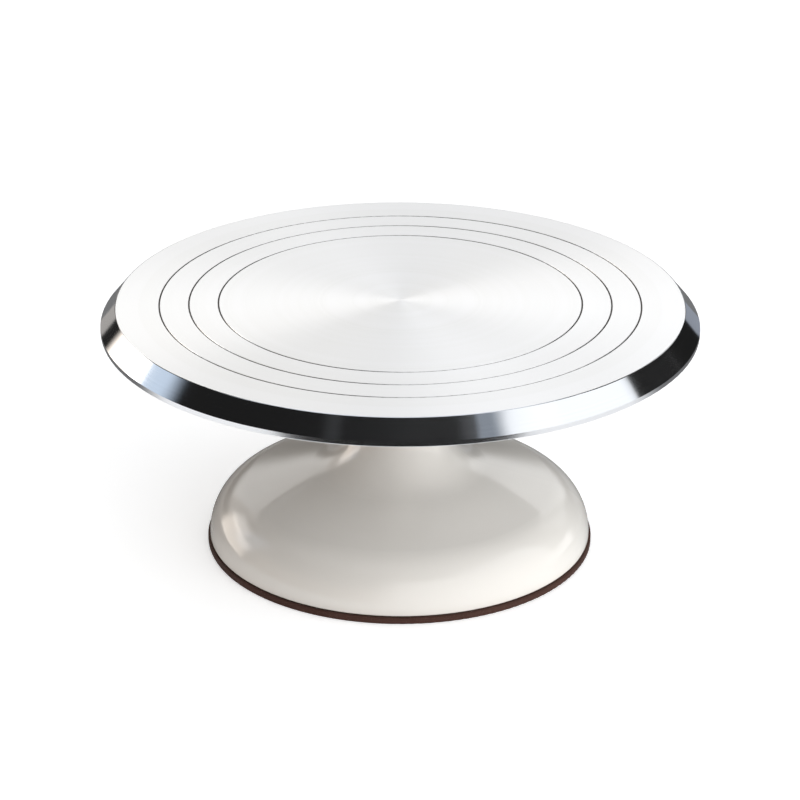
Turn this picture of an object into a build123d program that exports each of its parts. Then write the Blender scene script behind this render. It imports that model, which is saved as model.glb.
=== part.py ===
from build123d import *
import math
import os

# Cake turntable: a turned aluminium plate with three ring grooves, on a hollow cast
# pedestal whose neck holds two ball bearings, standing on a rubber ring.
# Origin: centre of the standing face. +Z is the axis of rotation, pointing up.
# All lengths are in millimetres.

# --- overall ---------------------------------------------------------------
TOTAL_HEIGHT = 133.0
PLATE_RADIUS = 152.5

# --- plate -----------------------------------------------------------------
FACE_RADIUS = 144.6  # flat top face, up to the start of the bevel
BEVEL_DROP = 9.4
RIM_BAND = 2.6  # straight edge under the bevel
RIM_TOP_ROUND = 1.0
RIM_BOTTOM_ROUND = 0.4
GROOVE_RADII = (92.5, 107.5, 122.5)
GROOVE_MOUTH = 0.9
GROOVE_FLOOR = 0.3
GROOVE_DEPTH = 0.5
WEB_THICKNESS = 5.0
RIM_LAND_RADIUS = 138.0  # inner edge of the flat ring under the rim
RIM_SLOPE_RUN = 4.0
BOSS_RADIUS = 40.0
BOSS_BOTTOM_Z = 124.0
BOSS_SLOPE_RUN = 6.0
PILOT_RADIUS = 15.0
PILOT_DEPTH = 2.2

# --- spindle ---------------------------------------------------------------
FLANGE_RADIUS = 36.0
FLANGE_THICKNESS = 7.0
FLANGE_CHAMFER = 1.0
PILOT_HEIGHT = 2.0
PILOT_CLEARANCE = 0.05
HUB_RADIUS = 9.0  # shoulder that rests on the upper bearing's inner ring
SHAFT_RADIUS = 5.99
SHAFT_BOTTOM_Z = 41.5
SHAFT_END_CHAMFER = 1.0

# --- plate screws (M6 low-head socket screws, 10 mm long) ------------------------
SCREW_COUNT = 4
SCREW_CIRCLE_RADIUS = 27.0
SCREW_FIRST_ANGLE = 45.0
SCREW_SHANK_RADIUS = 2.95
SCREW_THREAD_HOLE_RADIUS = 3.0
SCREW_CLEARANCE_RADIUS = 3.2
SCREW_LENGTH = 10.0
SCREW_HOLE_EXTRA = 0.5
SCREW_HEAD_RADIUS = 5.0
SCREW_HEAD_HEIGHT = 4.0
SCREW_HEAD_ROUND = 0.5
SCREW_SOCKET_FLATS = 4.0
SCREW_SOCKET_DEPTH = 2.2
COUNTERBORE_RADIUS = 6.2
COUNTERBORE_DEPTH = 3.0

# --- deep-groove ball bearings, 12 x 32 x 10 -----------------------------------
BEARING_BORE_RADIUS = 6.0
BEARING_OUTER_RADIUS = 16.0
BEARING_WIDTH = 10.0
INNER_LAND_RADIUS = 9.0
OUTER_LAND_RADIUS = 13.0
BALL_CIRCLE_RADIUS = 11.0
BALL_RADIUS = 2.9
RACE_RADIUS = 3.1
RACE_BOTTOM_GAP = 0.1
BALL_COUNT = 7
RING_EDGE_ROUND = 0.5
CAGE_INNER_RADIUS = 9.7
CAGE_OUTER_RADIUS = 12.3
CAGE_BELOW = 1.8
CAGE_ABOVE = 3.8
CAGE_POCKET_RADIUS = 2.95
SEAL_INSET = 0.3
SEAL_THICKNESS = 0.6
SEAL_INNER_RADIUS = 9.3
UPPER_BEARING_Z = 102.5
LOWER_BEARING_Z = 52.0

# --- pieces on the shaft and in the housing ----------------------------------------
SPACER_INNER_RADIUS = 6.05
SPACER_OUTER_RADIUS = 8.0
WASHER_INNER_RADIUS = 6.2
WASHER_OUTER_RADIUS = 8.8
WASHER_THICKNESS = 1.0
NUT_FLATS = 18.0
NUT_HEIGHT = 6.5
NUT_BORE_RADIUS = 6.0
NUT_COLLAR_RADIUS = 8.2
NUT_COLLAR_HEIGHT = 2.5
NUT_COLLAR_LIP = 0.7
INSERT_OUTER_RADIUS = 7.2
CIRCLIP_THICKNESS = 1.2
CIRCLIP_OUTER_RADIUS = 16.8
CIRCLIP_INNER_RADIUS = 14.2
CIRCLIP_GAP = 7.0
CIRCLIP_GROOVE_RADIUS = 16.85
CIRCLIP_GROOVE_WIDTH = 1.3
CAP_WALL = 1.2
CAP_DEPTH = 5.0
CAP_FLANGE_RADIUS = 17.5
CAP_FLANGE_THICKNESS = 1.5

# --- pedestal ---------------------------------------------------------------
BASE_RADIUS = 99.5
BASE_EDGE_RADIUS = 99.4
SEAT_Z = 3.6  # the pedestal stands on the foot ring here
REBATE_RADIUS = 98.6  # shadow line above the foot ring
REBATE_TOP_Z = 4.1
SHOULDER_RADIUS = 27.0
SHOULDER_CENTRE_Z = 4.5
SHOULDER_SLOPE = 17.0  # degrees below the horizontal, on the shallow cone
NECK_RADIUS = 20.0
NECK_FILLET = 36.0
NECK_TOP_Z = 114.5
NECK_TOP_ROUND = 1.2
WALL = 4.0
HOUSING_BORE_RADIUS = 16.01
HOUSING_WAIST_RADIUS = 13.0
HUB_BOTTOM_Z = 40.0
HUB_ROOT_FILLET = 3.0

# --- foot ring --------------------------------------------------------------
FOOT_OUTER_RADIUS = 100.6
FOOT_INNER_RADIUS = 86.0
FOOT_EDGE_ROUND = 0.6
LIP_INNER_RADIUS = 91.2
LIP_OUTER_RADIUS = 94.4
LIP_TOP_Z = 8.5

# --- levels that follow from the dimensions -------------------------------------
WEB_Z = TOTAL_HEIGHT - WEB_THICKNESS
BAND_TOP_Z = TOTAL_HEIGHT - BEVEL_DROP
RIM_BOTTOM_Z = BAND_TOP_Z - RIM_BAND
FLANGE_BOTTOM_Z = BOSS_BOTTOM_Z - FLANGE_THICKNESS
SCREW_SEAT_Z = FLANGE_BOTTOM_Z + COUNTERBORE_DEPTH
UPPER_BEARING_TOP_Z = UPPER_BEARING_Z + BEARING_WIDTH
LOWER_BEARING_TOP_Z = LOWER_BEARING_Z + BEARING_WIDTH
WASHER_BOTTOM_Z = LOWER_BEARING_Z - WASHER_THICKNESS
NUT_BOTTOM_Z = WASHER_BOTTOM_Z - NUT_HEIGHT
COLLAR_BOTTOM_Z = NUT_BOTTOM_Z - NUT_COLLAR_HEIGHT
SAME = 1e-4  # two lengths closer than this are equal


def at_angle(centre, radius, degrees):
    """The point of a profile circle at an angle measured from the outward direction."""
    angle = math.radians(degrees)
    return (centre[0] + radius * math.cos(angle), centre[1] + radius * math.sin(angle))


def turned(outline):
    """Turns a closed outline of (radius, height) edges about the axis."""
    return revolve(Plane.XZ * make_face(outline), Axis.Z)


def turned_polygon(points, rounds=()):
    """Turns a polygon of (radius, height) points; rounds lists (radius, height, round radius)."""
    face = make_face(Polyline(*points, close=True))
    for radius, height, size in rounds:
        corners = [
            v for v in face.vertices() if abs(v.X - radius) < SAME and abs(v.Y - height) < SAME
        ]
        face = fillet(corners, size)
    return revolve(Plane.XZ * face, Axis.Z)


def tube(inner, outer, bottom, top, rounds=()):
    """A plain ring about the axis."""
    points = [(inner, bottom), (outer, bottom), (outer, top), (inner, top)]
    return turned_polygon(points, rounds)


def disc(radius, bottom, top):
    """A plain disc about the axis."""
    return Pos(0, 0, bottom) * Cylinder(radius, top - bottom, align=(Align.CENTER, Align.CENTER, Align.MIN))


def screw_places():
    """The plate screws' places on their circle, at the level of the flange."""
    return PolarLocations(SCREW_CIRCLE_RADIUS, SCREW_COUNT, start_angle=SCREW_FIRST_ANGLE)


def groove(radius):
    """The four points of one ring groove in the top face, outermost first."""
    return [
        (radius + GROOVE_MOUTH / 2, TOTAL_HEIGHT),
        (radius + GROOVE_FLOOR / 2, TOTAL_HEIGHT - GROOVE_DEPTH),
        (radius - GROOVE_FLOOR / 2, TOTAL_HEIGHT - GROOVE_DEPTH),
        (radius - GROOVE_MOUTH / 2, TOTAL_HEIGHT),
    ]


def top_plate():
    """Turned plate: bevelled rim, three ring grooves, recessed underside and a central boss."""
    points = [
        (0, BOSS_BOTTOM_Z + PILOT_DEPTH),
        (PILOT_RADIUS, BOSS_BOTTOM_Z + PILOT_DEPTH),
        (PILOT_RADIUS, BOSS_BOTTOM_Z),
        (BOSS_RADIUS, BOSS_BOTTOM_Z),
        (BOSS_RADIUS + BOSS_SLOPE_RUN, WEB_Z),
        (RIM_LAND_RADIUS - RIM_SLOPE_RUN, WEB_Z),
        (RIM_LAND_RADIUS, RIM_BOTTOM_Z),
        (PLATE_RADIUS, RIM_BOTTOM_Z),
        (PLATE_RADIUS, BAND_TOP_Z),
        (FACE_RADIUS, TOTAL_HEIGHT),
    ]
    for radius in sorted(GROOVE_RADII, reverse=True):
        points += groove(radius)
    points.append((0, TOTAL_HEIGHT))
    rounds = [
        (FACE_RADIUS, TOTAL_HEIGHT, RIM_TOP_ROUND),
        (PLATE_RADIUS, RIM_BOTTOM_Z, RIM_BOTTOM_ROUND),
        (RIM_LAND_RADIUS, RIM_BOTTOM_Z, RIM_BOTTOM_ROUND),
        (BOSS_RADIUS, BOSS_BOTTOM_Z, RIM_BOTTOM_ROUND),
    ]
    plate = turned_polygon(points, rounds)
    depth = SCREW_SEAT_Z + SCREW_LENGTH + SCREW_HOLE_EXTRA
    for place in screw_places():
        plate -= place * disc(SCREW_THREAD_HOLE_RADIUS, BOSS_BOTTOM_Z, depth)
    return plate


def spindle():
    """Flange with a pilot for the plate and a shaft through both bearings, in one piece."""
    pilot_top = BOSS_BOTTOM_Z + PILOT_HEIGHT
    points = [
        (0, SHAFT_BOTTOM_Z),
        (SHAFT_RADIUS - SHAFT_END_CHAMFER, SHAFT_BOTTOM_Z),
        (SHAFT_RADIUS, SHAFT_BOTTOM_Z + SHAFT_END_CHAMFER),
        (SHAFT_RADIUS, UPPER_BEARING_TOP_Z),
        (HUB_RADIUS, UPPER_BEARING_TOP_Z),
        (HUB_RADIUS, FLANGE_BOTTOM_Z),
        (FLANGE_RADIUS - FLANGE_CHAMFER, FLANGE_BOTTOM_Z),
        (FLANGE_RADIUS, FLANGE_BOTTOM_Z + FLANGE_CHAMFER),
        (FLANGE_RADIUS, BOSS_BOTTOM_Z),
        (PILOT_RADIUS - PILOT_CLEARANCE, BOSS_BOTTOM_Z),
        (PILOT_RADIUS - PILOT_CLEARANCE, pilot_top),
        (0, pilot_top),
    ]
    part = turned_polygon(points)
    for place in screw_places():
        part -= place * disc(COUNTERBORE_RADIUS, FLANGE_BOTTOM_Z, SCREW_SEAT_Z)
        part -= place * disc(SCREW_CLEARANCE_RADIUS, SCREW_SEAT_Z, BOSS_BOTTOM_Z)
    return part


def plate_screw():
    """One low-head socket screw, head down, on the axis."""
    head_bottom = SCREW_SEAT_Z - SCREW_HEAD_HEIGHT
    head = disc(SCREW_HEAD_RADIUS, head_bottom, SCREW_SEAT_Z)
    head = fillet(head.edges().group_by(Axis.Z)[0], SCREW_HEAD_ROUND)
    shank = disc(SCREW_SHANK_RADIUS, SCREW_SEAT_Z, SCREW_SEAT_Z + SCREW_LENGTH)
    hexagon = RegularPolygon(SCREW_SOCKET_FLATS / 2, 6, major_radius=False)
    socket = Pos(0, 0, head_bottom) * extrude(hexagon, SCREW_SOCKET_DEPTH)
    return head + shank - socket


def plate_screws():
    """The screws that fix the plate to the spindle's flange."""
    screw = plate_screw()
    return Compound([place * screw for place in screw_places()])


def bearing_outer_ring(bottom):
    """Outer ring with its ball race."""
    top = bottom + BEARING_WIDTH
    rounds = [
        (BEARING_OUTER_RADIUS, bottom, RING_EDGE_ROUND),
        (BEARING_OUTER_RADIUS, top, RING_EDGE_ROUND),
    ]
    ring = tube(OUTER_LAND_RADIUS, BEARING_OUTER_RADIUS, bottom, top, rounds)
    race_centre = BALL_CIRCLE_RADIUS + BALL_RADIUS + RACE_BOTTOM_GAP - RACE_RADIUS
    return ring - Pos(0, 0, bottom + BEARING_WIDTH / 2) * Torus(race_centre, RACE_RADIUS)


def bearing_inner_ring(bottom):
    """Inner ring with its ball race."""
    top = bottom + BEARING_WIDTH
    rounds = [
        (BEARING_BORE_RADIUS, bottom, RING_EDGE_ROUND),
        (BEARING_BORE_RADIUS, top, RING_EDGE_ROUND),
    ]
    ring = tube(BEARING_BORE_RADIUS, INNER_LAND_RADIUS, bottom, top, rounds)
    race_centre = BALL_CIRCLE_RADIUS - BALL_RADIUS - RACE_BOTTOM_GAP + RACE_RADIUS
    return ring - Pos(0, 0, bottom + BEARING_WIDTH / 2) * Torus(race_centre, RACE_RADIUS)


def bearing_balls(bottom):
    """The balls, evenly spaced between the races."""
    middle = Pos(0, 0, bottom + BEARING_WIDTH / 2)
    ball = Sphere(BALL_RADIUS)
    return Compound([middle * place * ball for place in PolarLocations(BALL_CIRCLE_RADIUS, BALL_COUNT)])


def bearing_cage(bottom):
    """Snap-in crown cage: a ring with one pocket per ball, open downwards."""
    middle = bottom + BEARING_WIDTH / 2
    cage = tube(CAGE_INNER_RADIUS, CAGE_OUTER_RADIUS, middle - CAGE_BELOW, middle + CAGE_ABOVE)
    drill = Rot(0, 90, 0) * Cylinder(CAGE_POCKET_RADIUS, CAGE_OUTER_RADIUS)
    for place in PolarLocations(BALL_CIRCLE_RADIUS, BALL_COUNT):
        cage -= Pos(0, 0, middle) * place * drill
    return cage


def bearing_seals(bottom):
    """The two rubber shields that close a bearing, held in the outer ring."""
    low = bottom + SEAL_INSET
    high = bottom + BEARING_WIDTH - SEAL_INSET - SEAL_THICKNESS
    rings = [tube(SEAL_INNER_RADIUS, OUTER_LAND_RADIUS, z, z + SEAL_THICKNESS) for z in (low, high)]
    return Compound(rings)


def bearing_spacer():
    """Sleeve on the shaft between the two inner rings."""
    return tube(SPACER_INNER_RADIUS, SPACER_OUTER_RADIUS, LOWER_BEARING_TOP_Z, UPPER_BEARING_Z)


def retaining_ring():
    """Internal circlip above the upper bearing, with a gap and two eared ends."""
    bottom = UPPER_BEARING_TOP_Z
    top = bottom + CIRCLIP_THICKNESS
    ring = tube(CIRCLIP_INNER_RADIUS, CIRCLIP_OUTER_RADIUS, bottom, top)
    gap_centre = Pos(CIRCLIP_OUTER_RADIUS, 0, bottom + CIRCLIP_THICKNESS / 2)
    return ring - gap_centre * Box(CIRCLIP_OUTER_RADIUS, CIRCLIP_GAP, 2 * CIRCLIP_THICKNESS)


def lock_washer():
    """Washer between the lower inner ring and the nut."""
    return tube(WASHER_INNER_RADIUS, WASHER_OUTER_RADIUS, WASHER_BOTTOM_Z, LOWER_BEARING_Z)


def lock_nut():
    """Hexagon nut with a round collar below it that holds the locking insert."""
    hexagon = RegularPolygon(NUT_FLATS / 2, 6, major_radius=False)
    body = Pos(0, 0, NUT_BOTTOM_Z) * extrude(hexagon, NUT_HEIGHT)
    body -= disc(NUT_BORE_RADIUS, NUT_BOTTOM_Z, WASHER_BOTTOM_Z)
    collar = tube(INSERT_OUTER_RADIUS, NUT_COLLAR_RADIUS, COLLAR_BOTTOM_Z, NUT_BOTTOM_Z)
    lip_top = COLLAR_BOTTOM_Z + NUT_COLLAR_LIP
    lip = tube(WASHER_INNER_RADIUS, INSERT_OUTER_RADIUS, COLLAR_BOTTOM_Z, lip_top)
    return body + collar + lip


def lock_nut_insert():
    """Nylon ring inside the nut's collar."""
    lip_top = COLLAR_BOTTOM_Z + NUT_COLLAR_LIP
    return tube(NUT_BORE_RADIUS, INSERT_OUTER_RADIUS, lip_top, NUT_BOTTOM_Z)


def end_cap():
    """Plastic cup that closes the bottom of the bearing housing."""
    points = [
        (0, HUB_BOTTOM_Z - CAP_FLANGE_THICKNESS),
        (CAP_FLANGE_RADIUS, HUB_BOTTOM_Z - CAP_FLANGE_THICKNESS),
        (CAP_FLANGE_RADIUS, HUB_BOTTOM_Z),
        (BEARING_OUTER_RADIUS, HUB_BOTTOM_Z),
        (BEARING_OUTER_RADIUS, HUB_BOTTOM_Z + CAP_DEPTH),
        (BEARING_OUTER_RADIUS - CAP_WALL, HUB_BOTTOM_Z + CAP_DEPTH),
        (BEARING_OUTER_RADIUS - CAP_WALL, HUB_BOTTOM_Z),
        (0, HUB_BOTTOM_Z),
    ]
    rounds = [(CAP_FLANGE_RADIUS, HUB_BOTTOM_Z - CAP_FLANGE_THICKNESS, RING_EDGE_ROUND)]
    return turned_polygon(points, rounds)


def pedestal_outside():
    """Edges of the outer outline, from the rebate at the foot up to the neck's top."""
    steep = 90 - SHOULDER_SLOPE
    shoulder = (BASE_RADIUS - SHOULDER_RADIUS, SHOULDER_CENTRE_Z)
    cone_start = at_angle(shoulder, SHOULDER_RADIUS, steep)
    across = math.sin(math.radians(SHOULDER_SLOPE))
    up = math.cos(math.radians(SHOULDER_SLOPE))
    fillet_radius = NECK_RADIUS + NECK_FILLET
    along_normal = across * cone_start[0] + up * cone_start[1] + NECK_FILLET
    fillet_centre = (fillet_radius, (along_normal - across * fillet_radius) / up)
    cone_end = at_angle(fillet_centre, NECK_FILLET, 180 + steep)
    neck_start = at_angle(fillet_centre, NECK_FILLET, 180)
    neck_round = (NECK_RADIUS - NECK_TOP_ROUND, NECK_TOP_Z - NECK_TOP_ROUND)
    neck_end = at_angle(neck_round, NECK_TOP_ROUND, 0)
    top_start = at_angle(neck_round, NECK_TOP_ROUND, 90)
    return [
        Line((REBATE_RADIUS, SEAT_Z), (REBATE_RADIUS, REBATE_TOP_Z)),
        Line((REBATE_RADIUS, REBATE_TOP_Z), (BASE_EDGE_RADIUS, REBATE_TOP_Z)),
        Line((BASE_EDGE_RADIUS, REBATE_TOP_Z), (BASE_RADIUS, SHOULDER_CENTRE_Z)),
        ThreePointArc(
            (BASE_RADIUS, SHOULDER_CENTRE_Z), at_angle(shoulder, SHOULDER_RADIUS, steep / 2), cone_start
        ),
        Line(cone_start, cone_end),
        ThreePointArc(cone_end, at_angle(fillet_centre, NECK_FILLET, 180 + steep / 2), neck_start),
        Line(neck_start, neck_end),
        ThreePointArc(neck_end, at_angle(neck_round, NECK_TOP_ROUND, 45), top_start),
        Line(top_start, (HOUSING_BORE_RADIUS, NECK_TOP_Z)),
    ]


def pedestal_inside():
    """Edges of the inner outline, from the neck's top down the housing and back to the foot."""
    steep = 90 - SHOULDER_SLOPE
    shoulder = (BASE_RADIUS - SHOULDER_RADIUS, SHOULDER_CENTRE_Z)
    inner_radius = SHOULDER_RADIUS - WALL
    cone_start = at_angle(shoulder, inner_radius, steep)
    rise = math.tan(math.radians(SHOULDER_SLOPE))
    root = (NECK_RADIUS, cone_start[1] + (cone_start[0] - NECK_RADIUS) * rise)
    groove_low = UPPER_BEARING_TOP_Z
    groove_high = UPPER_BEARING_TOP_Z + CIRCLIP_GROOVE_WIDTH
    housing = [
        (HOUSING_BORE_RADIUS, NECK_TOP_Z),
        (HOUSING_BORE_RADIUS, groove_high),
        (CIRCLIP_GROOVE_RADIUS, groove_high),
        (CIRCLIP_GROOVE_RADIUS, groove_low),
        (HOUSING_BORE_RADIUS, groove_low),
        (HOUSING_BORE_RADIUS, UPPER_BEARING_Z),
        (HOUSING_WAIST_RADIUS, UPPER_BEARING_Z),
        (HOUSING_WAIST_RADIUS, LOWER_BEARING_TOP_Z),
        (HOUSING_BORE_RADIUS, LOWER_BEARING_TOP_Z),
        (HOUSING_BORE_RADIUS, HUB_BOTTOM_Z),
        (NECK_RADIUS, HUB_BOTTOM_Z),
        root,
        cone_start,
    ]
    wall_inside = BASE_RADIUS - WALL
    return [
        Polyline(*housing),
        ThreePointArc(
            cone_start, at_angle(shoulder, inner_radius, steep / 2), (wall_inside, SHOULDER_CENTRE_Z)
        ),
        Line((wall_inside, SHOULDER_CENTRE_Z), (wall_inside, SEAT_Z)),
        Line((wall_inside, SEAT_Z), (REBATE_RADIUS, SEAT_Z)),
    ]


def pedestal():
    """Hollow cast pedestal: wide low shoulder, waisted neck and the bearing housing inside."""
    body = turned(pedestal_outside() + pedestal_inside())
    roots = [
        e
        for e in body.edges().filter_by(GeomType.CIRCLE)
        if abs(e.radius - NECK_RADIUS) < SAME and HUB_BOTTOM_Z + SAME < e.center().Z < LOWER_BEARING_Z
    ]
    return fillet(roots, HUB_ROOT_FILLET)


def foot_ring():
    """Rubber ring under the pedestal, with a lip that plugs into its hollow."""
    points = [
        (FOOT_INNER_RADIUS, 0),
        (FOOT_OUTER_RADIUS, 0),
        (FOOT_OUTER_RADIUS, SEAT_Z),
        (LIP_OUTER_RADIUS, SEAT_Z),
        (LIP_OUTER_RADIUS, LIP_TOP_Z),
        (LIP_INNER_RADIUS, LIP_TOP_Z),
        (LIP_INNER_RADIUS, SEAT_Z),
        (FOOT_INNER_RADIUS, SEAT_Z),
    ]
    rounds = [
        (FOOT_INNER_RADIUS, 0, FOOT_EDGE_ROUND),
        (FOOT_OUTER_RADIUS, 0, FOOT_EDGE_ROUND),
        (FOOT_OUTER_RADIUS, SEAT_Z, FOOT_EDGE_ROUND),
        (FOOT_INNER_RADIUS, SEAT_Z, FOOT_EDGE_ROUND),
        (LIP_INNER_RADIUS, LIP_TOP_Z, FOOT_EDGE_ROUND),
    ]
    return turned_polygon(points, rounds)


def all_pieces():
    """Every piece by its node's name."""
    pieces = {
        "top_plate": top_plate(),
        "spindle": spindle(),
        "plate_screws": plate_screws(),
        "bearing_spacer": bearing_spacer(),
        "retaining_ring": retaining_ring(),
        "lock_washer": lock_washer(),
        "lock_nut": lock_nut(),
        "lock_nut_insert": lock_nut_insert(),
        "end_cap": end_cap(),
        "pedestal": pedestal(),
        "foot_ring": foot_ring(),
    }
    for name, bottom in (("upper", UPPER_BEARING_Z), ("lower", LOWER_BEARING_Z)):
        pieces[f"{name}_bearing_outer_ring"] = bearing_outer_ring(bottom)
        pieces[f"{name}_bearing_inner_ring"] = bearing_inner_ring(bottom)
        pieces[f"{name}_bearing_balls"] = bearing_balls(bottom)
        pieces[f"{name}_bearing_cage"] = bearing_cage(bottom)
        pieces[f"{name}_bearing_seals"] = bearing_seals(bottom)
    return pieces


os.makedirs("parts", exist_ok=True)
for node, piece in all_pieces().items():
    export_step(piece, f"parts/{node}.step")
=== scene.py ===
import math

import bpy
from mathutils import Matrix, Vector


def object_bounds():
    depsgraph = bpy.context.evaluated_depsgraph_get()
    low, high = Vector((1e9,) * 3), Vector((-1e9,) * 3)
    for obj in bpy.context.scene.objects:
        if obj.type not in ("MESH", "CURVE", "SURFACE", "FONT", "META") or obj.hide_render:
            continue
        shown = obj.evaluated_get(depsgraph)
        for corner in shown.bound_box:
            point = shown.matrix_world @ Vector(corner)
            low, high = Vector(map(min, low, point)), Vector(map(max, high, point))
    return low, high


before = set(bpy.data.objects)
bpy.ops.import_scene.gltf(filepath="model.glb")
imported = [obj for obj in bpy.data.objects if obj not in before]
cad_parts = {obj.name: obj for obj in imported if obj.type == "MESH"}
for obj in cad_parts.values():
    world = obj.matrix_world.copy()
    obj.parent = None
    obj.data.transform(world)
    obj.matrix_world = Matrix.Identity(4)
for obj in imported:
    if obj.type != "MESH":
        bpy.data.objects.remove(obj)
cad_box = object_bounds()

# ---------------------------------------------------------------------------
# Sizes that the materials follow, in metres, in the part's own frame
# ---------------------------------------------------------------------------
TOP_Z = cad_box[1].z
FACE_RADIUS = 0.1446  # the flat top ends here and the bevel begins
BAND_TOP_Z = TOP_Z - 0.0094  # the bevel ends here and the straight rim begins
BAND_BOTTOM_Z = TOP_Z - 0.0118  # just above the rim's rounded lower edge
BELOW_GROOVES_Z = TOP_Z - 0.0007  # under the groove floors, above everything on the underside
GROOVE_RADII = (0.0925, 0.1075, 0.1225)
GROOVE_HALF_WIDTH = 0.00035  # how far from its circle the painted shade of a groove reaches
WEB_EDGE_RADIUS = 0.1400  # the recessed underside lies inside this radius
WEB_TOP_Z = 0.1285  # and below this height
RIM_UNDERSIDE_Z = 0.121125  # just above the plate's lowest face
FOOT_TOP_Z = 0.0064  # the enamel is a little browner below this height

# Camera: a long lens at the photograph's viewing angle, measured from the top face's centre
CAMERA_BACK = 1.3905
CAMERA_UP = 0.5625
CAMERA_LENS = 132.5
CAMERA_SENSOR = 36.0
CAMERA_PITCH = 23.9714  # degrees below the horizon
CAMERA_ROLL = 0.2321


# ---------------------------------------------------------------------------
# Node helpers
# ---------------------------------------------------------------------------
class Tree:
    """A node tree with short calls for the nodes used here."""

    def __init__(self, owner):
        owner.use_nodes = True
        self.tree = owner.node_tree
        self.tree.nodes.clear()

    def node(self, kind, **settings):
        made = self.tree.nodes.new(kind)
        for name, value in settings.items():
            setattr(made, name, value)
        return made

    def put(self, socket, value):
        if isinstance(value, bpy.types.NodeSocket):
            self.tree.links.new(value, socket)
        else:
            socket.default_value = value

    def math(self, operation, *values):
        made = self.node("ShaderNodeMath", operation=operation)
        for socket, value in zip(made.inputs, values):
            self.put(socket, value)
        return made.outputs[0]

    def step(self, value, low, high, to_low=0.0, to_high=1.0, smooth=True):
        """Rises from to_low at low to to_high at high."""
        made = self.node("ShaderNodeMapRange", clamp=True)
        made.interpolation_type = "SMOOTHSTEP" if smooth else "LINEAR"
        for socket, item in zip(made.inputs, (value, low, high, to_low, to_high)):
            self.put(socket, item)
        return made.outputs[0]

    def above(self, value, place, blur):
        """1 where value is above place, 0 below, with a soft edge that reaches blur to each side."""
        return self.step(value, place - blur, place + blur)

    def below(self, value, place, blur):
        return self.step(value, place - blur, place + blur, 1.0, 0.0)

    def blend(self, share, a, b):
        """Goes straight from the number a to the number b as share goes from 0 to 1."""
        return self.step(share, 0.0, 1.0, a, b, smooth=False)

    def mix(self, share, a, b):
        made = self.node("ShaderNodeMix", data_type="RGBA")
        self.put(made.inputs["Factor"], share)
        self.put(made.inputs[6], a)
        self.put(made.inputs[7], b)
        return made.outputs[2]

    def bump(self, height, distance):
        made = self.node("ShaderNodeBump")
        self.put(made.inputs["Height"], height)
        self.put(made.inputs["Distance"], distance)
        self.put(made.inputs["Strength"], 1.0)
        return made.outputs[0]


def grey(value):
    return (value, value, value, 1.0)


def colour(red, green, blue):
    return (red, green, blue, 1.0)


class Surface(Tree):
    """A material with one Principled shader and the object's own coordinates ready to use."""

    def __init__(self, name, **constants):
        self.material = bpy.data.materials.new(name)
        super().__init__(self.material)
        self.shader = self.node("ShaderNodeBsdfPrincipled")
        output = self.node("ShaderNodeOutputMaterial")
        self.tree.links.new(self.shader.outputs[0], output.inputs[0])
        self.place = self.node("ShaderNodeTexCoord").outputs["Object"]
        split = self.node("ShaderNodeSeparateXYZ")
        self.put(split.inputs[0], self.place)
        self.x, self.y, self.z = split.outputs
        for name, value in constants.items():
            self.put(self.shader.inputs[name.replace("_", " ")], value)

    def noise(self, scale, detail=2.0, roughness=0.5):
        """Noise through the object's own space, with scale features to a metre."""
        made = self.node("ShaderNodeTexNoise", noise_dimensions="3D")
        self.put(made.inputs["Vector"], self.place)
        self.put(made.inputs["Scale"], scale)
        self.put(made.inputs["Detail"], detail)
        self.put(made.inputs["Roughness"], roughness)
        return made.outputs["Fac"]

    def turning_marks(self, per_metre, detail=2.0, roughness=0.5):
        """Rings about the axis that cross every face of the section, per_metre to a metre."""
        along = self.math("SUBTRACT", self.radius(), self.z)
        made = self.node("ShaderNodeTexNoise", noise_dimensions="1D")
        self.put(made.inputs["W"], self.math("MULTIPLY", along, per_metre))
        self.put(made.inputs["Scale"], 1.0)
        self.put(made.inputs["Detail"], detail)
        self.put(made.inputs["Roughness"], roughness)
        return made.outputs["Fac"]

    def weigh(self, a, weight, b):
        """a times weight, plus b."""
        return self.math("MULTIPLY_ADD", a, weight, b)

    def radius(self):
        """Distance from the part's axis."""
        squares = self.math("MULTIPLY", self.x, self.x)
        return self.math("SQRT", self.math("MULTIPLY_ADD", self.y, self.y, squares))

    def set(self, **values):
        for name, value in values.items():
            self.put(self.shader.inputs[name.replace("_", " ")], value)

    def turned_about_axis(self):
        """Lets an anisotropic highlight follow the turning marks round the axis."""
        tangent = self.node("ShaderNodeTangent", direction_type="RADIAL", axis="Z")
        self.put(self.shader.inputs["Tangent"], tangent.outputs[0])
        self.set(Anisotropic_Rotation=0.25)


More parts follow.
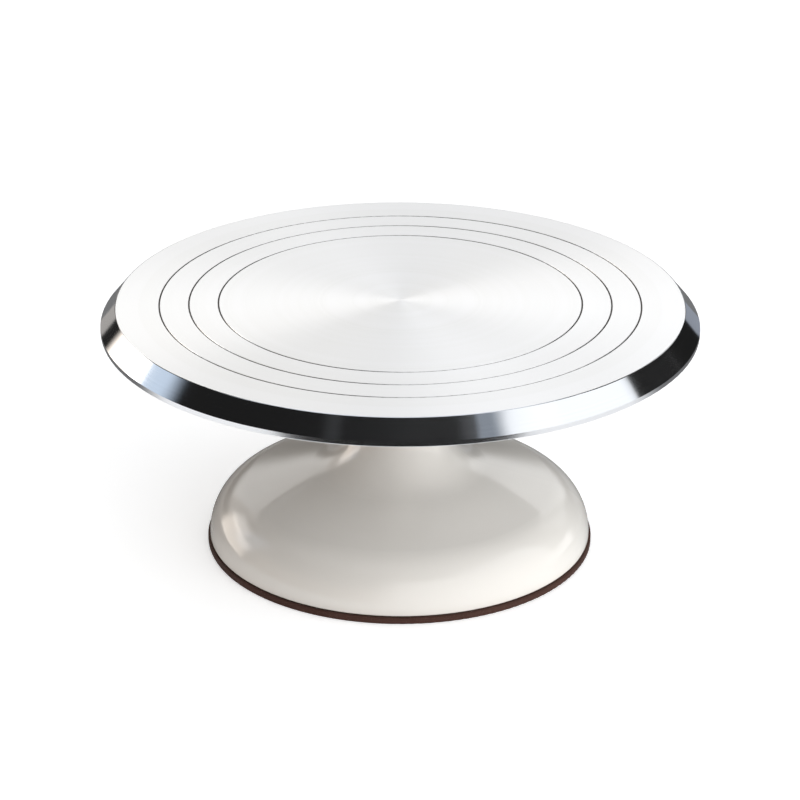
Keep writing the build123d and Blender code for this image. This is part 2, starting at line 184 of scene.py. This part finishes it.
# ---------------------------------------------------------------------------
# Materials
# ---------------------------------------------------------------------------
def turned_aluminium():
    """Plate: finely turned face with grooves darkened by painted shade, a polished bevel and rim, a
    plainer underside darkened in part by painted shade.
    """
    s = Surface("turned_aluminium", Metallic=1.0, Anisotropic=0.82)
    s.turned_about_axis()
    radius = s.radius()
    fine = s.turning_marks(5200.0, detail=3.0, roughness=0.6)
    coarse = s.turning_marks(620.0)
    broad = s.turning_marks(95.0, detail=1.0)
    smears = s.noise(38.0, detail=3.0, roughness=0.55)

    # where each region of the plate lies
    near_top = s.above(s.z, BELOW_GROOVES_Z, 0.00005)
    face = s.math("MULTIPLY", near_top, s.below(radius, FACE_RADIUS - 0.00015, 0.00045))
    outer = s.above(radius, FACE_RADIUS - 0.0001, 0.0003)
    polished = s.math("MULTIPLY", outer, s.above(s.z, BAND_BOTTOM_Z, 0.0001))
    band = s.math("MULTIPLY", polished, s.below(s.z, BAND_TOP_Z, 0.00012))
    web = s.math("MULTIPLY", s.below(radius, WEB_EDGE_RADIUS, 0.0002), s.below(s.z, WEB_TOP_Z, 0.0002))
    under = s.math("MAXIMUM", web, s.below(s.z, RIM_UNDERSIDE_Z, 0.000075))
    nearest = None
    for groove in GROOVE_RADII:
        gap = s.math("ABSOLUTE", s.math("SUBTRACT", radius, groove))
        nearest = gap if nearest is None else s.math("MINIMUM", nearest, gap)
    # painted shade: the groove floors are coloured near black, as if in shadow
    painted_groove_shade = s.math("MULTIPLY", s.below(nearest, GROOVE_HALF_WIDTH, 0.00009), face)

    lines = s.weigh(fine, 0.55, s.math("MULTIPLY", coarse, 0.45))
    base = s.mix(lines, colour(0.84, 0.845, 0.85), colour(0.93, 0.935, 0.94))
    base = s.mix(s.above(broad, 0.5, 0.15), base, colour(0.90, 0.905, 0.915))
    bright = s.mix(lines, colour(0.80, 0.81, 0.83), colour(0.88, 0.89, 0.91))
    base = s.mix(polished, base, bright)
    # plainer, coarser underside; its colour is also darkened as painted shade under the plate, so it
    # bounces less light onto the pedestal
    dull_and_shaded = s.mix(lines, colour(0.56, 0.565, 0.57), colour(0.68, 0.685, 0.69))
    base = s.mix(under, base, dull_and_shaded)
    # painted shade in the grooves
    base = s.mix(painted_groove_shade, base, colour(0.07, 0.062, 0.056))

    rough_face = s.weigh(lines, 0.07, s.weigh(smears, 0.03, 0.26))
    rough_polished = s.weigh(lines, 0.05, s.weigh(smears, 0.03, 0.045))
    rough_band = s.weigh(lines, 0.06, 0.07)
    rough = s.blend(polished, rough_face, rough_polished)
    rough = s.blend(band, rough, rough_band)
    rough = s.blend(under, rough, 0.42)
    rough = s.blend(painted_groove_shade, rough, 0.5)

    depth = s.blend(polished, 0.0000016, 0.0000005)
    height = s.weigh(coarse, 1.6, fine)
    s.set(Base_Color=base, Roughness=rough, Normal=s.bump(height, depth))
    return s.material


def cream_enamel():
    """Pedestal: thick glossy cream enamel with a trace of orange peel."""
    s = Surface(
        "cream_enamel",
        Metallic=0.0,
        IOR=1.5,
        Coat_Weight=0.45,
        Coat_Roughness=0.02,
        Coat_IOR=1.5,
    )
    peel = s.noise(420.0)
    waves = s.noise(38.0)
    tone = s.noise(14.0, detail=3.0)
    specks = s.step(s.noise(1500.0, detail=1.0), 0.74, 0.80)
    base = s.mix(tone, colour(0.83, 0.80, 0.75), colour(0.86, 0.835, 0.79))
    foot = s.below(s.z, FOOT_TOP_Z, 0.0021)
    base = s.mix(s.math("MULTIPLY", foot, 0.12), base, colour(0.62, 0.53, 0.44))
    base = s.mix(s.math("MULTIPLY", specks, 0.10), base, colour(0.60, 0.56, 0.50))
    rough = s.weigh(waves, 0.06, 0.12)
    height = s.weigh(waves, 4.0, peel)
    s.set(Base_Color=base, Roughness=rough, Normal=s.bump(height, 0.0000022))
    return s.material


def brown_rubber():
    """Foot ring: matte brown rubber with a fine grain and a little pale dust."""
    s = Surface("brown_rubber", Metallic=0.0, IOR=1.2, Sheen_Weight=0.02, Sheen_Roughness=0.5)
    grain = s.noise(1700.0, detail=3.0, roughness=0.6)
    patch = s.noise(70.0, detail=3.0)
    base = s.mix(patch, colour(0.052, 0.023, 0.017), colour(0.080, 0.040, 0.031))
    dust = s.math("MULTIPLY", s.step(grain, 0.55, 0.75), 0.35)
    base = s.mix(dust, base, colour(0.20, 0.135, 0.115))
    rough = s.weigh(grain, 0.18, 0.60)
    s.set(Base_Color=base, Roughness=rough, Normal=s.bump(grain, 0.00004))
    return s.material


def turned_steel(name, dark, light, rough_low, rough_span, anisotropic=0.6):
    """Lathe-turned steel: rings of slightly different tone about the axis."""
    s = Surface(name, Metallic=1.0, Anisotropic=anisotropic)
    s.turned_about_axis()
    fine = s.turning_marks(3600.0, detail=3.0, roughness=0.6)
    coarse = s.turning_marks(520.0)
    smears = s.noise(60.0, detail=3.0, roughness=0.6)
    lines = s.weigh(fine, 0.6, s.math("MULTIPLY", coarse, 0.4))
    shade = s.step(smears, 0.35, 0.75, 1.0, 0.88)
    shaded = s.node("ShaderNodeVectorMath", operation="SCALE")
    s.put(shaded.inputs[0], s.mix(lines, dark, light))
    s.put(shaded.inputs["Scale"], shade)
    rough = s.weigh(lines, rough_span, s.weigh(smears, 0.06, rough_low))
    s.set(Base_Color=shaded.outputs[0], Roughness=rough, Normal=s.bump(fine, 0.000003))
    return s.material


def grained(name, dark, light, rough_low, rough_span, scale, depth, metallic=0.0):
    """Moulded, blackened or ground surface: cloudy tone and a fine grain."""
    s = Surface(name, Metallic=metallic)
    grain = s.noise(scale, detail=3.0, roughness=0.6)
    cloud = s.noise(90.0, detail=3.0)
    base = s.mix(s.weigh(grain, 0.5, s.math("MULTIPLY", cloud, 0.5)), dark, light)
    rough = s.weigh(grain, rough_span, s.weigh(cloud, 0.05, rough_low))
    s.set(Base_Color=base, Roughness=rough, Normal=s.bump(grain, depth))
    return s.material


def dress():
    """Gives every CAD node its material."""
    steel = turned_steel("machined_steel", grey(0.42), grey(0.62), rough_low=0.24, rough_span=0.14)
    ring_steel = turned_steel(
        "bearing_steel", grey(0.62), grey(0.80), rough_low=0.08, rough_span=0.08, anisotropic=0.4
    )
    ball_steel = grained(
        "ball_steel", grey(0.70), grey(0.82), 0.04, 0.03, scale=900.0, depth=0.0000004, metallic=1.0
    )
    spring = grained(
        "spring_steel", grey(0.16), grey(0.26), 0.30, 0.15, scale=1500.0, depth=0.000004, metallic=1.0
    )
    black = grained(
        "black_oxide", grey(0.035), grey(0.075), 0.30, 0.18, scale=1600.0, depth=0.000004, metallic=0.9
    )
    cream, dark_cream = colour(0.70, 0.66, 0.56), colour(0.60, 0.56, 0.46)
    nylon = grained("cage_nylon", dark_cream, cream, 0.42, 0.12, scale=1300.0, depth=0.000006)
    blue, dark_blue = colour(0.05, 0.15, 0.42), colour(0.03, 0.10, 0.33)
    insert = grained("insert_nylon", dark_blue, blue, 0.35, 0.12, scale=1300.0, depth=0.000006)
    seal = grained("seal_rubber", grey(0.018), grey(0.035), 0.50, 0.20, scale=1500.0, depth=0.00001)
    cap = grained("cap_plastic", grey(0.020), grey(0.040), 0.38, 0.15, scale=1700.0, depth=0.00001)
    looks = {
        "top_plate": turned_aluminium(),
        "pedestal": cream_enamel(),
        "foot_ring": brown_rubber(),
        "spindle": steel,
        "bearing_spacer": steel,
        "lock_washer": steel,
        "lock_nut": steel,
        "plate_screws": black,
        "retaining_ring": spring,
        "lock_nut_insert": insert,
        "end_cap": cap,
    }
    for level in ("upper", "lower"):
        looks[f"{level}_bearing_outer_ring"] = ring_steel
        looks[f"{level}_bearing_inner_ring"] = ring_steel
        looks[f"{level}_bearing_balls"] = ball_steel
        looks[f"{level}_bearing_cage"] = nylon
        looks[f"{level}_bearing_seals"] = seal
    for name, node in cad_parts.items():
        if not node.material_slots:
            node.data.materials.append(None)
        for slot in node.material_slots:
            slot.material = looks[name]


# ---------------------------------------------------------------------------
# Studio
# ---------------------------------------------------------------------------
# Soft boxes, strips and black flags round the object, as directions seen from it. In degrees:
# azimuth 0 is towards the camera and grows to the right, height is above the horizon.
# (azimuth from, to, height from, to, azimuth softness, height softness, colour, strength)
BOXES = (
    (-181, 181, 58, 95, 1, 16, (0.95, 0.99, 1.05), 0.80),  # overhead
    (-181, -152, 12, 62, 10, 10, (1.00, 0.99, 0.97), 1.18),  # back wall, left part
    (150, 181, 12, 62, 5, 10, (1.00, 1.00, 1.00), 1.22),  # back wall, right part
    (-154, -138, 11, 42, 5, 6, (1.00, 0.95, 0.90), 0.75),  # between the back wall and the strip
    (128, 152, 17, 42, 4, 5, (1.00, 1.00, 1.00), 0.55),  # over the black flag at the right
    (-2, 74, -3, 27, 46, 8, (1.00, 1.00, 1.00), 2.12),  # large low box, front
    (0, 60, 27, 44, 30, 6, (1.00, 1.00, 1.00), 2.40),  # its upper part, too low to show in the bevel
    (50, 106, -8, 24, 50, 10, (1.00, 1.00, 1.00), 1.60),  # large low box, right
    (98, 127, -8, 10, 10, 4, (1.00, 1.00, 1.00), 1.50),  # low strip beyond it
    (38, 106, 26, 58, 3, 4, (0.84, 0.96, 1.12), 0.24),  # upper part of the right box
    (48, 106, 24, 51, 10, 4, (1.00, 1.00, 1.00), 0.95),  # and a brighter part of that
    (-100, -10, -8, 22, 24, 8, (1.00, 0.74, 0.54), 0.30),  # low fill, front left
    (60, 181, -90, 0, 20, 1, (0.88, 0.96, 1.12), 0.32),  # the room's floor, right
    (-181, -105, -90, 0, 20, 1, (1.00, 0.95, 0.90), 0.40),  # and left
)
STRIPS = (
    (-137, -105, -6, 20, 8, 5, (1.00, 0.90, 0.80), 2.60),  # tall strip, left
    (-138, -117, 17, 30, 6, 5, (1.00, 0.96, 0.92), 2.10),  # its narrower top
    (-120, -102, 10, 38, 10, 8, (0.78, 0.92, 1.10), 0.80),  # its soft edge
)
# (azimuth from, to, height from, to, azimuth softness, height softness, darkness)
FLAGS = (
    (105, 127, 11, 58, 1.5, 3, 0.98),  # right of the large box
    (126, 148, -6, 15, 1.5, 4, 0.98),  # and beyond it, low down
    (-98, -34, 33, 66, 14, 8, 0.98),  # in front, left of the camera
    (-34, 34, 47, 66, 14, 5, 0.98),  # in front, above the camera
)
AMBIENT = 0.013
MIRRORED_LIMIT = 1.2  # the boxes look no brighter than this in a reflection, so metal isn't burnt out

# The floor is a sheet, in metres from the object's axis. The camera sees it glow a little.
FLOOR_LEFT, FLOOR_RIGHT, FLOOR_FRONT, FLOOR_BACK = -0.56, 0.42, -0.33, 1.6
GLOW_FOR_CAMERA = 0.5
GLOW_IN_FRONT = 0.3
# Behind this line the floor is a painted shade: it is dark and doesn't glow for anything but the
# camera, so that the object's outline doesn't shine.
DARK_FROM_Y = -0.01
DARK_EDGE = 0.07
PAINTED_SHADE_TONE = 0.22


def studio_world():
    """Plain white surroundings for the camera, soft boxes for light and reflections."""
    world = bpy.data.worlds.new("studio")
    bpy.context.scene.world = world
    t = Tree(world)
    split = t.node("ShaderNodeSeparateXYZ")
    t.put(split.inputs[0], t.node("ShaderNodeTexCoord").outputs["Generated"])
    x, y, z = split.outputs
    azimuth = t.math("ARCTAN2", x, t.math("MULTIPLY", y, -1.0))
    height = t.math("ARCSINE", z)

    def share_of(az_low, az_high, low, high, az_soft, soft):
        """1 inside the stretch of sky between these directions, falling softly to 0 outside."""
        share = None
        for value, start, end, blur in (
            (azimuth, az_low, az_high, az_soft),
            (height, low, high, soft),
        ):
            start, end, half = (math.radians(v) for v in (start, end, blur / 2))
            part = t.math("MULTIPLY", t.above(value, start, half), t.below(value, end, half))
            share = part if share is None else t.math("MULTIPLY", share, part)
        return share

    def vector_math(operation, a, b):
        made = t.node("ShaderNodeVectorMath", operation=operation)
        t.put(made.inputs[0], a)
        t.put(made.inputs["Scale" if operation == "SCALE" else 1], b)
        return made.outputs[0]

    def sum_of(lights):
        total = (0.0, 0.0, 0.0)
        for *stretch, tone, strength in lights:
            glow = vector_math("SCALE", tuple(c * strength for c in tone), share_of(*stretch))
            total = vector_math("ADD", total, glow)
        return total

    path = t.node("ShaderNodeLightPath")
    boxes = sum_of(BOXES)
    mirrored = vector_math("MINIMUM", boxes, (MIRRORED_LIMIT, MIRRORED_LIMIT, MIRRORED_LIMIT))
    boxes = t.mix(path.outputs["Is Glossy Ray"], boxes, mirrored)
    total = vector_math("ADD", boxes, sum_of(STRIPS))
    for *stretch, darkness in FLAGS:
        let_through = t.math("MULTIPLY_ADD", share_of(*stretch), -darkness, 1.0)
        total = vector_math("SCALE", total, let_through)
    total = vector_math("ADD", total, (AMBIENT, AMBIENT, AMBIENT))
    background = t.node("ShaderNodeBackground")
    t.put(background.inputs[0], t.mix(path.outputs["Is Camera Ray"], total, grey(1.0)))
    output = t.node("ShaderNodeOutputWorld")
    t.put(output.inputs[0], background.outputs[0])


def floor():
    """Plain pale floor with a barely uneven tone, glowing for the camera and in front; its back part
    is a painted shade, dark for everything but the camera.
    """
    corners = [
        (FLOOR_LEFT, FLOOR_FRONT, 0),
        (FLOOR_RIGHT, FLOOR_FRONT, 0),
        (FLOOR_RIGHT, FLOOR_BACK, 0),
        (FLOOR_LEFT, FLOOR_BACK, 0),
    ]
    mesh = bpy.data.meshes.new("floor")
    mesh.from_pydata(corners, [], [(0, 1, 2, 3)])
    s = Surface("floor", IOR=1.3, Emission_Color=grey(1.0))
    pale = s.mix(s.noise(3.0), grey(0.92), grey(0.94))
    seen = s.node("ShaderNodeLightPath").outputs["Is Camera Ray"]
    front = s.below(s.y, DARK_FROM_Y, DARK_EDGE)
    glow = s.math(
        "MAXIMUM",
        s.math("MULTIPLY", seen, GLOW_FOR_CAMERA),
        s.math("MULTIPLY", front, GLOW_IN_FRONT),
    )
    # painted shade: behind the line the floor is dark for everything but the camera, which sees it
    # pale
    base = s.mix(s.math("MAXIMUM", seen, front), grey(PAINTED_SHADE_TONE), pale)
    s.set(Base_Color=base, Emission_Strength=glow, Roughness=0.9)
    mesh.materials.append(s.material)
    made = bpy.data.objects.new("floor", mesh)
    bpy.context.scene.collection.objects.link(made)


def camera():
    """The photograph's view."""
    data = bpy.data.cameras.new("camera")
    data.lens = CAMERA_LENS
    data.sensor_width = CAMERA_SENSOR
    data.clip_start = 0.05
    data.clip_end = 50.0
    made = bpy.data.objects.new("camera", data)
    bpy.context.scene.collection.objects.link(made)
    pitch, roll = math.radians(CAMERA_PITCH), math.radians(CAMERA_ROLL)
    forward = Vector((0.0, math.cos(pitch), -math.sin(pitch)))
    level = Vector((0.0, math.sin(pitch), math.cos(pitch)))
    upward = math.cos(roll) * level - math.sin(roll) * Vector((1.0, 0.0, 0.0))
    turn = Matrix((forward.cross(upward), upward, -forward)).transposed().to_4x4()
    place = Vector((0.0, -CAMERA_BACK, TOP_Z + CAMERA_UP))
    made.matrix_world = Matrix.Translation(place) @ turn
    bpy.context.scene.camera = made


dress()
floor()
studio_world()
camera()
bpy.context.scene.view_settings.view_transform = "Standard"
